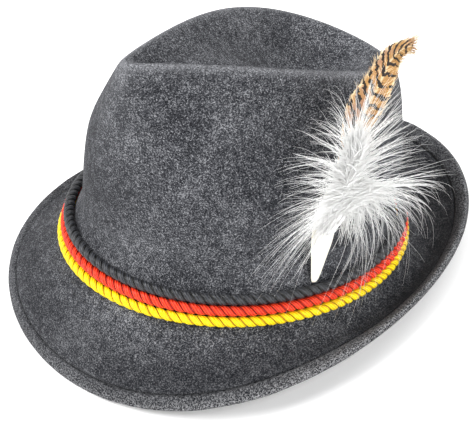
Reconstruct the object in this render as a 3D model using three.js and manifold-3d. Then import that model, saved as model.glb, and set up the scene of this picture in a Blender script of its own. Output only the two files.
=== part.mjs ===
// A felt hat with a teardrop crown, three twisted cords round its foot and a plume.
// Millimetres, +Z up. The brim's front points to -Y, the wearer's left and the plume to +X.
// The felt is worked out with the middle cord's plane level, then tilted to lie on the floor.

import * as THREE from "three";
import { mergeVertices } from "three/addons/utils/BufferGeometryUtils.js";
import Module from "manifold-3d";

const wasm = await Module();
wasm.setup();

// Felt body
const HEAD_LENGTH = 199.6;
const HEAD_WIDTH = 168.3;
const FELT = 2;
const CROWN_FRONT_HEIGHT = 122.3;
const CROWN_SIDE_HEIGHT = 112.7;
const CROWN_BACK_HEIGHT = 92.4;

// Brim, measured outwards from the crown's face and from the middle cord's plane
const BRIM_FRONT_REACH = 30.4;
const BRIM_SIDE_REACH = 26.6;
const BRIM_BACK_REACH = 56.9;
const BRIM_FRONT_DROP = 56.9;
const BRIM_SIDE_DROP = 12.2;
const BRIM_BACK_RISE = 13;
const BRIM_CORNER = 4.2;
const BRIM_CORNER_LIFT = 3.1;
const BRIM_FORWARD = 0.17;
const BRIM_FRONT_ARCH = 5;
const BRIM_SIDE_SAG = 9;
const BRIM_BACK_SAG = 14;
const HEM_WIDTH = 6.5;
const HEM_THICKNESS = 4.4;
const FLOOR_PRESS = 0.7;

// Cords
const CORD_DIAMETER = 6;
const CLEARANCE = 0.3;
const CORD_LEAN = 1.5;

// Plume, at an angle round the crown from the front; places are out from the crown's face at the
// middle cord, back along it and up from the middle cord
const PLUME_ANGLE = THREE.MathUtils.degToRad(82);
const QUILL_LENGTH = 62;
const QUILL_WIDTH = 11;
const QUILL_THICKNESS = 1.8;
const FEATHER_START = 28;
const FEATHER_LENGTH = 116;
const FEATHER_WIDTH = 15.5;
const FEATHER_THICKNESS = 0.9;
const FLUFF_UP = 75;
const FLUFF_BACK = -1;
const FLUFF_HEIGHT = 48;
const FLUFF_WIDTH = 17;
const FLUFF_THICKNESS = 9;
const LOCK_LENGTH = 48;
const LOCK_RADIUS = 4.5;
const LOCK_DROOP = 0.1;
const LOCK_FORWARD = 0.35;

// Fineness of the meshes
const COLUMNS = 50;
const CORD_SIDES = 8;
const LOCK_SIDES = 5;
const CROWN_STEPS = 2;

// The crown's sections from the foot up over the ridge and down into the dent.
// front and back are shares of half the crown's length, side and pinch of half its width.
// egg narrows the front, pinch presses the front's two sides in, and high is a share of the
// crown's heights front, side and back.
const CROWN_SECTIONS = [
  {
    name: "collar", front: 0.954, back: 0.954, side: 0.945, egg: 0, pinch: 0,
    highFront: 0.11, highSide: 0.12, highBack: 0.15,
  },
  {
    name: "low wall", front: 0.971, back: 0.954, side: 0.93, egg: 0.03, pinch: 0,
    highFront: 0.28, highSide: 0.29, highBack: 0.31,
  },
  {
    name: "middle wall", front: 0.985, back: 0.936, side: 0.906, egg: 0.09, pinch: -0.01,
    highFront: 0.5, highSide: 0.51, highBack: 0.5,
  },
  {
    name: "lip", front: 0.983, back: 0.924, side: 0.838, egg: 0.15, pinch: 0.02,
    highFront: 0.63, highSide: 0.64, highBack: 0.63,
  },
  {
    name: "pinch", front: 0.978, back: 0.908, side: 0.75, egg: 0.27, pinch: 0.085,
    highFront: 0.77, highSide: 0.77, highBack: 0.76,
  },
  {
    name: "shoulder", front: 0.968, back: 0.88, side: 0.604, egg: 0.5, pinch: 0.05,
    highFront: 0.92, highSide: 0.915, highBack: 0.91,
  },
  {
    name: "ridge", front: 0.939, back: 0.836, side: 0.477, egg: 0.72, pinch: 0,
    highFront: 1, highSide: 1, highBack: 1,
  },
  {
    name: "inner lip", front: 0.861, back: 0.763, side: 0.38, egg: 0.72, pinch: 0,
    highFront: 0.98, highSide: 0.975, highBack: 0.965,
  },
  {
    name: "dent wall", front: 0.704, back: 0.626, side: 0.253, egg: 0.7, pinch: 0,
    highFront: 0.92, highSide: 0.9, highBack: 0.87,
  },
  {
    name: "dent floor", front: 0.45, back: 0.372, side: 0.117, egg: 0.6, pinch: 0,
    highFront: 0.88, highSide: 0.86, highBack: 0.82,
  },
];

// The quill's sections from its foot up; up and back are shares of its length
const QUILL_SECTIONS = [
  { up: 0, back: -0.15, wide: 0.4 },
  { up: 0.21, back: -0.1, wide: 0.66 },
  { up: 0.42, back: -0.04, wide: 1 },
  { up: 0.63, back: 0.01, wide: 0.9 },
  { up: 0.84, back: 0.02, wide: 0.5 },
  { up: 1, back: -0.01, wide: 0.3 },
];

// The barred feather's sections from its shaft to its curled tip, as shares of its length;
// turn is how far its face is turned towards the front in degrees
const FEATHER_SECTIONS = [
  { up: 0, back: 0.02, out: 0, wide: 0.12, turn: 0 },
  { up: 0.18, back: 0.02, out: 0, wide: 0.2, turn: 0 },
  { up: 0.36, back: 0.02, out: 0, wide: 0.6, turn: 0 },
  { up: 0.48, back: 0.04, out: 0, wide: 0.95, turn: 15 },
  { up: 0.58, back: 0.07, out: -0.01, wide: 1, turn: 28 },
  { up: 0.68, back: 0.11, out: -0.02, wide: 0.95, turn: 35 },
  { up: 0.77, back: 0.17, out: -0.03, wide: 0.8, turn: 35 },
  { up: 0.845, back: 0.225, out: -0.035, wide: 0.55, turn: 35 },
  { up: 0.89, back: 0.28, out: -0.035, wide: 0.35, turn: 35 },
  { up: 0.9, back: 0.325, out: -0.03, wide: 0.12, turn: 35 },
];

// The fans of down locks: where their root is on the backing, the turn from backwards over up,
// the lift away from the crown in degrees, and their length as a share of LOCK_LENGTH
const LOCK_FANS = [
  { root: -0.25, from: 176, to: 226, lift: 12, locks: 4, long: 1 },
  { root: -0.25, from: 296, to: 365, lift: 12, locks: 4, long: 1.05 },
  { root: -0.2, from: 160, to: 204, lift: 28, locks: 3, long: 0.95 },
  { root: -0.2, from: 300, to: 368, lift: 34, locks: 4, long: 0.95 },
  { root: -0.12, from: 190, to: 350, lift: 60, locks: 3, long: 0.6 },
  { root: 0.25, from: 8, to: 176, lift: 14, locks: 8, long: 1 },
  { root: 0.2, from: 2, to: 180, lift: 36, locks: 7, long: 0.9 },
  { root: 0.12, from: 20, to: 160, lift: 60, locks: 3, long: 0.7 },
];

// A lock's thickness along it, as shares of LOCK_RADIUS
const LOCK_SHAPE = [
  { along: 0.04, thick: 1 },
  { along: 0.4, thick: 0.85 },
  { along: 0.75, thick: 0.5 },
];

// The brim's rings between the crown's foot and the hem, as shares of that way
const BRIM_SHARES = [0.14, 0.32, 0.52, 0.72, 0.88];

const CROWN_HALF_LENGTH = HEAD_LENGTH / 2 + FELT;
const CROWN_HALF_WIDTH = HEAD_WIDTH / 2 + FELT;
const CORD_OUT = CORD_DIAMETER / 2 + CLEARANCE;
const CORD_SPACING = CORD_DIAMETER + CLEARANCE;
const CORD_RISE = Math.sqrt(CORD_SPACING ** 2 - CORD_LEAN ** 2);

const quarter = Math.PI / 2;
const upwards = new THREE.Vector3(0, 0, 1);

// A value that is front, side and back at the three places of the oval, smooth between them
function aroundOval(angle, front, side, back) {
  const c = Math.cos(angle);
  return side + ((front - back) / 2) * c + ((front + back) / 2 - side) * c * c;
}

// The crown's outer oval at the middle cord, moved outwards by a distance
function ovalPoint(angle, outwards, height) {
  const normal = new THREE.Vector3(
    Math.sin(angle) / CROWN_HALF_WIDTH,
    -Math.cos(angle) / CROWN_HALF_LENGTH,
    0,
  ).normalize();
  const point = new THREE.Vector3(
    CROWN_HALF_WIDTH * Math.sin(angle),
    -CROWN_HALF_LENGTH * Math.cos(angle),
    height,
  );
  return point.addScaledVector(normal, outwards);
}

function columnAngle(column) {
  return (2 * Math.PI * column) / COLUMNS;
}

function crownPoint(section, angle) {
  const middle = ((section.back - section.front) / 2) * CROWN_HALF_LENGTH;
  const half = ((section.back + section.front) / 2) * CROWN_HALF_LENGTH;
  const pinched = section.pinch * Math.sin(angle) ** 4 * (1 + Math.cos(angle));
  const width = (section.side * (1 - section.egg * Math.cos(angle)) - pinched) * CROWN_HALF_WIDTH;
  return new THREE.Vector3(
    width * Math.sin(angle),
    middle - half * Math.cos(angle),
    aroundOval(
      angle,
      section.highFront * CROWN_FRONT_HEIGHT,
      section.highSide * CROWN_SIDE_HEIGHT,
      section.highBack * CROWN_BACK_HEIGHT,
    ),
  );
}

// The place of a cord's centre beside the crown's face: 0 is the top cord, 2 the bottom one
function cordCentre(order) {
  return { out: CORD_OUT + (order - 1) * CORD_LEAN, high: (1 - order) * CORD_RISE };
}

// The crown's foot runs down behind the cords and turns outwards under the bottom one
function footPoints(angle) {
  const lean = Math.atan2(CORD_LEAN, CORD_RISE);
  const points = [];
  for (const order of [0, 1, 2]) {
    const cord = cordCentre(order);
    points.push(ovalPoint(
      angle,
      cord.out - CORD_OUT * Math.cos(lean),
      cord.high - CORD_OUT * Math.sin(lean),
    ));
  }
  const bottom = cordCentre(2);
  const turn = quarter - lean;
  for (const share of [0.34, 0.67, 1]) {
    const a = lean + turn * share;
    points.push(ovalPoint(
      angle,
      bottom.out - CORD_OUT * Math.cos(a),
      bottom.high - CORD_OUT * Math.sin(a),
    ));
  }
  return points;
}

function brimEdgePoint(angle) {
  const front = CROWN_HALF_LENGTH + BRIM_FRONT_REACH;
  const back = CROWN_HALF_LENGTH + BRIM_BACK_REACH;
  const side = CROWN_HALF_WIDTH + BRIM_SIDE_REACH + BRIM_CORNER;
  return new THREE.Vector3(
    side * Math.sin(angle) * (1 + BRIM_FORWARD * Math.cos(angle)) + BRIM_CORNER * Math.sin(3 * angle),
    (back - front) / 2 - ((back + front) / 2) * Math.cos(angle),
    aroundOval(angle, -BRIM_FRONT_DROP, -BRIM_SIDE_DROP, BRIM_BACK_RISE)
      + BRIM_CORNER_LIFT * (Math.cos(angle) - Math.cos(3 * angle)),
  );
}

function brimPoint(angle, share) {
  const foot = footPoints(angle).at(-1);
  const point = foot.lerp(brimEdgePoint(angle), share);
  const bow = aroundOval(angle, BRIM_FRONT_ARCH, -BRIM_SIDE_SAG, -BRIM_BACK_SAG);
  point.z += bow * 4 * share * (1 - share);
  return point;
}

// One column of the felt's top face from the dent out to the brim's edge, with wall thicknesses
function feltColumn(angle) {
  const crown = CROWN_SECTIONS.map((section) => crownPoint(section, angle)).reverse();
  const foot = footPoints(angle);
  const curve = new THREE.CatmullRomCurve3([...crown, foot[0]], false, "centripetal");
  const points = curve.getPoints(CROWN_STEPS * crown.length).slice(0, -1);
  points.push(...foot);
  const thickness = points.map(() => FELT);
  const length = foot.at(-1).distanceTo(brimEdgePoint(angle));
  const hem = 1 - HEM_WIDTH / length;
  for (const share of BRIM_SHARES) {
    points.push(brimPoint(angle, share * hem));
    thickness.push(FELT);
  }
  const step = (HEM_THICKNESS - FELT) / length / 2;
  for (const [share, wall] of [[hem - step, FELT], [hem + step, HEM_THICKNESS]]) {
    points.push(brimPoint(angle, share));
    thickness.push(wall);
  }
  points.push(brimPoint(angle, 1 - HEM_THICKNESS / 2 / length));
  thickness.push(HEM_THICKNESS);
  return { points, thickness };
}

// A closed mesh from rings of points; a point closes each end, or the rings close on themselves
function ringsGeometry(rings, firstPole = null, lastPole = null) {
  const positions = [];
  const triangles = [];
  const size = rings[0].length;
  for (const ring of rings) {
    for (const point of ring) {
      positions.push(point.x, point.y, point.z);
    }
  }
  const at = (ring, column) => (ring % rings.length) * size + (column % size);
  const spans = firstPole ? rings.length - 1 : rings.length;
  for (let ring = 0; ring < spans; ring++) {
    for (let column = 0; column < size; column++) {
      const a = at(ring, column);
      const b = at(ring, column + 1);
      const c = at(ring + 1, column + 1);
      const d = at(ring + 1, column);
      triangles.push(a, d, b, b, d, c);
    }
  }
  if (firstPole) {
    const first = positions.length / 3;
    positions.push(firstPole.x, firstPole.y, firstPole.z);
    positions.push(lastPole.x, lastPole.y, lastPole.z);
    for (let column = 0; column < size; column++) {
      triangles.push(first, at(0, column), at(0, column + 1));
      triangles.push(first + 1, at(rings.length - 1, column + 1), at(rings.length - 1, column));
    }
  }
  const geometry = new THREE.BufferGeometry();
  geometry.setAttribute("position", new THREE.Float32BufferAttribute(positions, 3));
  geometry.setIndex(triangles);
  return geometry;
}

// The outward normals of a grid of points that is closed round its columns
function gridNormals(rings) {
  return rings.map((ring, row) => ring.map((point, column) => {
    const size = ring.length;
    const along = new THREE.Vector3().subVectors(
      rings[Math.min(row + 1, rings.length - 1)][column],
      rings[Math.max(row - 1, 0)][column],
    );
    const around = new THREE.Vector3().subVectors(
      ring[(column + 1) % size],
      ring[(column + size - 1) % size],
    );
    return along.cross(around).normalize();
  }));
}

function feltGeometry() {
  const columns = [];
  for (let column = 0; column < COLUMNS; column++) {
    columns.push(feltColumn(columnAngle(column)));
  }
  const count = columns[0].points.length;
  const top = [];
  for (let row = 0; row < count; row++) {
    top.push(columns.map((column) => column.points[row]));
  }
  const normals = gridNormals(top);
  const under = top.map((ring, row) => ring.map((point, column) => (
    point.clone().addScaledVector(normals[row][column], -columns[column].thickness[row])
  )));
  const last = count - 1;
  const rim = [quarter / 2, 0, -quarter / 2].map((a) => top[last].map((point, column) => {
    const outwards = new THREE.Vector3().subVectors(point, top[last - 1][column]).normalize();
    const radius = HEM_THICKNESS / 2;
    return new THREE.Vector3()
      .addVectors(point, under[last][column])
      .multiplyScalar(0.5)
      .addScaledVector(outwards, radius * Math.cos(a))
      .addScaledVector(normals[last][column], radius * Math.sin(a));
  }));
  const centre = top[0].reduce((sum, point) => sum.add(point), new THREE.Vector3());
  centre.multiplyScalar(1 / COLUMNS);
  const underCentre = centre.clone();
  underCentre.z -= FELT;
  return ringsGeometry([...top, ...rim, ...under.reverse()], centre, underCentre);
}

function cordGeometry(order) {
  const cord = cordCentre(order);
  const radius = CORD_DIAMETER / 2;
  const rings = [];
  for (let side = 0; side < CORD_SIDES; side++) {
    const a = (2 * Math.PI * (side + 0.5)) / CORD_SIDES;
    const ring = [];
    for (let column = 0; column < COLUMNS; column++) {
      ring.push(ovalPoint(
        columnAngle(column),
        cord.out + radius * Math.cos(a),
        cord.high - radius * Math.sin(a),
      ));
    }
    rings.push(ring);
  }
  return ringsGeometry(rings);
}

// A place beside the plume's foot on the crown
function plumePoint(out, back, up) {
  const along = new THREE.Vector3(
    CROWN_HALF_WIDTH * Math.cos(PLUME_ANGLE),
    CROWN_HALF_LENGTH * Math.sin(PLUME_ANGLE),
    0,
  ).normalize();
  return ovalPoint(PLUME_ANGLE, out, up).addScaledVector(along, back);
}

// A flat blade along a row of sections, pointed at both ends; faces is a section's outward direction
function bladeGeometry(sections, thickness) {
  const spine = new THREE.CatmullRomCurve3(sections.map((section) => section.point));
  const rings = sections.map((section, index) => {
    const tangent = spine.getTangent(index / (sections.length - 1));
    const side = new THREE.Vector3().crossVectors(tangent, section.faces).normalize();
    const front = new THREE.Vector3().crossVectors(side, tangent).normalize();
    const half = section.width / 2;
    const thick = Math.min(thickness, section.width) / 2;
    const corners = [[1, 0], [0.5, 1], [-0.5, 1], [-1, 0], [-0.5, -1], [0.5, -1]];
    return corners.map(([across, deep]) => section.point.clone()
      .addScaledVector(side, across * half)
      .addScaledVector(front, deep * thick));
  });
  return ringsGeometry(rings, sections[0].point, sections.at(-1).point);
}

const PLUME_FACES = plumePoint(1, 0, 0).sub(plumePoint(0, 0, 0));
const PLUME_FOOT_OUT = cordCentre(0).out - CORD_OUT + CLEARANCE + QUILL_THICKNESS / 2;
const PLUME_FOOT_UP = cordCentre(0).high + CORD_OUT;

function quillGeometry() {
  const sections = QUILL_SECTIONS.map((row) => ({
    point: plumePoint(
      PLUME_FOOT_OUT,
      row.back * QUILL_LENGTH,
      PLUME_FOOT_UP + row.up * QUILL_LENGTH,
    ),
    width: row.wide * QUILL_WIDTH,
    faces: PLUME_FACES,
  }));
  return bladeGeometry(sections, QUILL_THICKNESS);
}

// The feather's shaft runs up behind the quill
function featherGeometry() {
  const behind = (QUILL_THICKNESS + FEATHER_THICKNESS) / 2 + CLEARANCE;
  const sections = FEATHER_SECTIONS.map((row) => ({
    point: plumePoint(
      PLUME_FOOT_OUT - behind + row.out * FEATHER_LENGTH,
      row.back * FEATHER_LENGTH,
      PLUME_FOOT_UP + FEATHER_START + row.up * FEATHER_LENGTH,
    ),
    width: row.wide * FEATHER_WIDTH,
    faces: PLUME_FACES.clone().applyAxisAngle(upwards, -THREE.MathUtils.degToRad(row.turn)),
  }));
  return bladeGeometry(sections, FEATHER_THICKNESS);
}

// A tapered lock of down from a root, along a heading, bending down towards its tip
function lockGeometry(root, heading, length) {
  const spine = new THREE.QuadraticBezierCurve3(
    root,
    root.clone().addScaledVector(heading, length / 2),
    root.clone().addScaledVector(heading, length).add(new THREE.Vector3(0, 0, -LOCK_DROOP * length)),
  );
  const across = new THREE.Vector3().crossVectors(heading, PLUME_FACES).normalize();
  const rings = LOCK_SHAPE.map((row) => {
    const centre = spine.getPoint(row.along);
    const tangent = spine.getTangent(row.along);
    const first = across.clone().addScaledVector(tangent, -across.dot(tangent)).normalize();
    const second = new THREE.Vector3().crossVectors(first, tangent);
    const ring = [];
    for (let side = 0; side < LOCK_SIDES; side++) {
      const a = (2 * Math.PI * side) / LOCK_SIDES;
      ring.push(centre.clone()
        .addScaledVector(first, row.thick * LOCK_RADIUS * Math.cos(a))
        .addScaledVector(second, row.thick * LOCK_RADIUS * Math.sin(a)));
    }
    return ring;
  });
  return ringsGeometry(rings, root, spine.getPoint(1));
}

function toManifold(geometry) {
  const shape = geometry.clone();
  shape.deleteAttribute("normal");
  shape.deleteAttribute("uv");
  const merged = mergeVertices(shape, 1e-4);
  return new wasm.Manifold(new wasm.Mesh({
    numProp: 3,
    vertProperties: new Float32Array(merged.getAttribute("position").array),
    triVerts: new Uint32Array(merged.index.array),
  }));
}

function fromManifold(body) {
  const mesh = body.getMesh();
  const geometry = new THREE.BufferGeometry();
  geometry.setAttribute("position", new THREE.BufferAttribute(mesh.vertProperties, 3));
  geometry.setIndex(new THREE.BufferAttribute(mesh.triVerts, 1));
  return geometry;
}

// Fans of locks round an upper and a lower root, fused to an oval backing
function fluffGeometry() {
  const out = PLUME_FOOT_OUT + (QUILL_THICKNESS + FLUFF_THICKNESS) / 2 + CLEARANCE;
  const centre = plumePoint(out, FLUFF_BACK, FLUFF_UP);
  const backing = new THREE.SphereGeometry(0.5, 12, 8);
  backing.scale(FLUFF_THICKNESS, FLUFF_WIDTH, FLUFF_HEIGHT);
  backing.rotateZ(Math.atan2(PLUME_FACES.y, PLUME_FACES.x));
  backing.translate(centre.x, centre.y, centre.z);
  let body = toManifold(backing);
  const along = plumePoint(0, 1, 0).sub(plumePoint(0, 0, 0));
  for (const fan of LOCK_FANS) {
    const lift = THREE.MathUtils.degToRad(fan.lift);
    for (let i = 0; i < fan.locks; i++) {
      const share = (i + 0.5) / fan.locks;
      const turn = THREE.MathUtils.degToRad(fan.from + (fan.to - fan.from) * share);
      const heading = along.clone().multiplyScalar(Math.cos(turn) * Math.cos(lift));
      heading.z = Math.sin(turn) * Math.cos(lift);
      heading.addScaledVector(PLUME_FACES, Math.sin(lift));
      const root = plumePoint(out, FLUFF_BACK, FLUFF_UP + fan.root * FLUFF_HEIGHT);
      const forward = 1 + LOCK_FORWARD * Math.max(0, -Math.cos(turn));
      body = body.add(toManifold(lockGeometry(root, heading, fan.long * forward * LOCK_LENGTH)));
    }
  }
  return fromManifold(body);
}

const pieces = [
  ["hat_felt", feltGeometry(), { color: 0x55565a, roughness: 0.95, metalness: 0 }],
  ["cord_black", cordGeometry(0), { color: 0x2a2c2e, roughness: 0.6, metalness: 0 }],
  ["cord_red", cordGeometry(1), { color: 0xe8392a, roughness: 0.6, metalness: 0 }],
  ["cord_yellow", cordGeometry(2), { color: 0xf4e01c, roughness: 0.6, metalness: 0 }],
  ["plume_quill", quillGeometry(), { color: 0xf1eee0, roughness: 0.5, metalness: 0 }],
  ["plume_feather", featherGeometry(), { color: 0xa9773f, roughness: 0.7, metalness: 0 }],
  ["plume_fluff", fluffGeometry(), { color: 0xf2f2f2, roughness: 0.9, metalness: 0 }],
];
const felt = pieces[0][1].getAttribute("position");

// The lowest height of the felt's front half (-1) or back half (1) when it is tilted by an angle
function lowest(angle, half) {
  let low = Infinity;
  for (let i = 0; i < felt.count; i++) {
    const y = felt.getY(i);
    if (y * half > 0) {
      low = Math.min(low, y * Math.sin(angle) + felt.getZ(i) * Math.cos(angle));
    }
  }
  return low;
}

// The tilt at which the front edge and the roll at the back touch the floor together
function restTilt() {
  let least = -quarter / 3;
  let most = quarter / 3;
  for (let i = 0; i < 40; i++) {
    const middle = (least + most) / 2;
    if (lowest(middle, 1) > lowest(middle, -1)) {
      most = middle;
    } else {
      least = middle;
    }
  }
  return (least + most) / 2;
}

const tilt = restTilt();
const floor = lowest(tilt, 1) + FLOOR_PRESS;
const hat = new THREE.Group();
for (const [name, geometry, finish] of pieces) {
  geometry.rotateX(tilt);
  geometry.translate(0, 0, -floor);
  const mesh = new THREE.Mesh(geometry, new THREE.MeshStandardMaterial(finish));
  mesh.name = name;
  hat.add(mesh);
}

// The felt is pressed flat where it lies on the floor
for (let i = 0; i < felt.count; i++) {
  felt.setZ(i, Math.max(felt.getZ(i), 0));
}

// The origin is on the floor under the middle of the whole hat
const middle = new THREE.Box3().setFromObject(hat).getCenter(new THREE.Vector3());
hat.position.set(-middle.x, -middle.y, 0);

export default hat;
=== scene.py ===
"""A mottled grey felt tyrolean hat with three twisted cords and a plume, dressed round its solids.

Metres, +Z up. The brim's front points to -Y, the wearer's left and the plume to +X. The hat's own
frame has the middle cord's plane level; HatFrame turns it to lie on the floor as the solids do.
"""

from __future__ import annotations

import logging
import math
import random
from dataclasses import dataclass, field
from enum import Enum
from typing import Callable, Iterable, NamedTuple, Protocol, Sequence, TypeVar

import bmesh
import bpy
from mathutils import Matrix, Vector, noise

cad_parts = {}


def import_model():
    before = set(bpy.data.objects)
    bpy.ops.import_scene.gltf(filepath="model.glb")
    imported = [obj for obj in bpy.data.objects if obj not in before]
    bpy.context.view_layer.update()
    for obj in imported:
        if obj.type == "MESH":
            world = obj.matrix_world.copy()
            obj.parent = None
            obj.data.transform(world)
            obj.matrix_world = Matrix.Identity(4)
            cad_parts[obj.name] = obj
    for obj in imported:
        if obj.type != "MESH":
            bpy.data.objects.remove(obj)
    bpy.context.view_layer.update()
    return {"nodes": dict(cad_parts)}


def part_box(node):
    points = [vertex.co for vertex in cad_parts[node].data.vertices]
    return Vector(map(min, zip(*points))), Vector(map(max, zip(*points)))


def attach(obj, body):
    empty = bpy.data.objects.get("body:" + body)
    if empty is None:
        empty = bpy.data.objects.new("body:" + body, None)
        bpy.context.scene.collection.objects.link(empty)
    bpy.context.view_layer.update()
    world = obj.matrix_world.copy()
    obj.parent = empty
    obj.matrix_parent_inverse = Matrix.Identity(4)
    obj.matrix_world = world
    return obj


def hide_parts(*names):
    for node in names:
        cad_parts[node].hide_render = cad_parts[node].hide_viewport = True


LOG = logging.getLogger("tyrolean_hat")
MM = 0.001
FULL_TURN = 2 * math.pi
UP = Vector((0, 0, 1))
HAIR_SIDES = 3

Triple = tuple[float, float, float]
Colour = Triple
Place = Callable[[float, float], Vector]
Path = Callable[[float], Vector]
Strand = list[tuple[Vector, float]]
Row = TypeVar("Row", bound=tuple)


class Section(NamedTuple):
    """One section of a blade.

    Up, back and out are shares of the blade's length from its foot, wide is a share of its
    width, and turned is in degrees.
    """

    up: float
    back: float
    out: float
    wide: float
    turned: float = 0


class SpinePoint(NamedTuple):
    """A point of a down feather's spine, with the radius of the white body there, in metres."""

    back: float
    up: float
    out: float
    radius: float


class Heading(NamedTuple):
    """Where a down feather's barbs point at one place of its spine.

    Turns are degrees from backwards over up, lengths are metres, and lift is how far the barbs
    may rise off the crown, in degrees.
    """

    forward_turn: float
    backward_turn: float
    forward_length: float
    backward_length: float
    lift: float


class Lamp(NamedTuple):
    """A wide soft light: its place and how wide it looks in degrees, and its strength.

    The azimuth is counted from the front towards the wearer's left.
    """

    name: str
    azimuth: float
    elevation: float
    power: float
    width: float


class Finish(Protocol):
    """A finish that can make its own material."""

    def material(self) -> bpy.types.Material:
        """Builds the material."""


def tone(red: float, green: float, blue: float) -> Colour:
    """Turns a colour as it is seen, 0 to 255, into linear light."""
    return tuple((part / 255) ** 2.2 for part in (red, green, blue))


def clamp(value: float, low: float = 0.0, high: float = 1.0) -> float:
    """Keeps a value between two others."""
    return min(max(value, low), high)


def scatter(draw: random.Random, size: float) -> Vector:
    """Draws a small random shift of about a size in metres."""
    return Vector((draw.gauss(0, 1), draw.gauss(0, 1), draw.gauss(0, 1))) * (size / 1.7)


def compass(azimuth: float, elevation: float) -> Vector:
    """The direction towards an azimuth from the front and an elevation, both in radians."""
    flat = math.cos(elevation)
    return Vector((math.sin(azimuth) * flat, -math.cos(azimuth) * flat, math.sin(elevation)))


def blend_rows(rows: Sequence[Row], share: float) -> Row:
    """Reads a table of sections smoothly between its rows.

    Args:
        rows: the table's rows, spaced evenly along the piece.
        share: the place along the piece, 0 at the first row and 1 at the last.

    Returns:
        A row with a number for each column.
    """
    place = clamp(share) * (len(rows) - 1)
    first = min(int(place), len(rows) - 2)
    part = place - first
    before, after = rows[max(first - 1, 0)], rows[min(first + 2, len(rows) - 1)]
    values = []
    for a, b, c, d in zip(before, rows[first], rows[first + 1], after):
        bend = (2 * a - 5 * b + 4 * c - d) + part * (3 * (b - c) + d - a)
        values.append(b + part / 2 * ((c - a) + part * bend))
    return type(rows[0])(*values)


class Term:
    """A value in a material, with the usual arithmetic."""

    def __init__(self, shader: Shader, socket: bpy.types.NodeSocket) -> None:
        """Wraps one output socket of a shader's node."""
        self.shader = shader
        self.socket = socket

    def __add__(self, other: Term | float) -> Term:
        """This value plus another."""
        return self.shader.maths("ADD", self, other)

    def __radd__(self, other: Term | float) -> Term:
        """Another value plus this one."""
        return self.shader.maths("ADD", other, self)

    def __sub__(self, other: Term | float) -> Term:
        """This value less another."""
        return self.shader.maths("SUBTRACT", self, other)

    def __rsub__(self, other: Term | float) -> Term:
        """Another value less this one."""
        return self.shader.maths("SUBTRACT", other, self)

    def __mul__(self, other: Term | float) -> Term:
        """This value times another."""
        return self.shader.maths("MULTIPLY", self, other)

    def __rmul__(self, other: Term | float) -> Term:
        """Another value times this one."""
        return self.shader.maths("MULTIPLY", other, self)


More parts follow.
